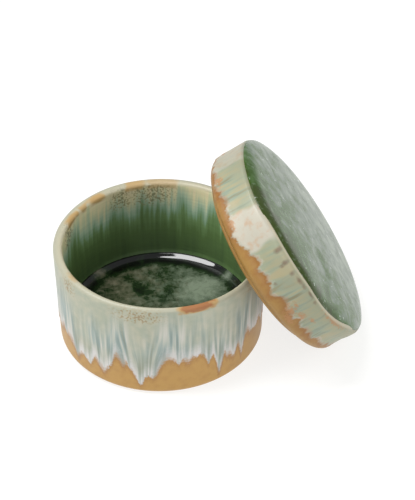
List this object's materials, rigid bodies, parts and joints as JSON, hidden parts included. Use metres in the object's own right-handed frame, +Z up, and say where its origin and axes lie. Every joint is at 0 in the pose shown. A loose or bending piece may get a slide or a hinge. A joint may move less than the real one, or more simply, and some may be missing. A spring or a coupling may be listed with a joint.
{
  "type": "lidded serving bowl",
  "caption": "Short straight-sided stoneware serving bowl with a drip glaze and a glass-pooled floor, with its glass-topped lid taken off and leaning on the lip.",
  "frame": {"origin": "centre of the bowl's foot ring, on the table", "axes": "+Z up along the bowl's axis, +X towards the side where the lid leans"},
  "size_m": [0.1983, 0.14, 0.1278],
  "materials": {
    "bowl_stoneware": "glossy running glaze, pale celadon and cream over ochre",
    "bowl_glass": "glossy dark green melted glass with pale mottling",
    "lid_stoneware": "glossy running glaze, sage, cream and ochre",
    "lid_glass": "glossy dark green melted glass with fine pale flecks"
  },
  "bodies": {
    "bowl": {"bowl_body": "bowl_stoneware", "bowl_glass_pool": "bowl_glass"},
    "lid": {"lid_body": "lid_stoneware", "lid_glass_pool": "lid_glass"}
  },
  "joints": [
    {"name": "lid_lift", "type": "slide", "parent": "bowl", "child": "lid", "axis": [0, 0, 1], "range_m": [0, 0.1]}
  ]
}
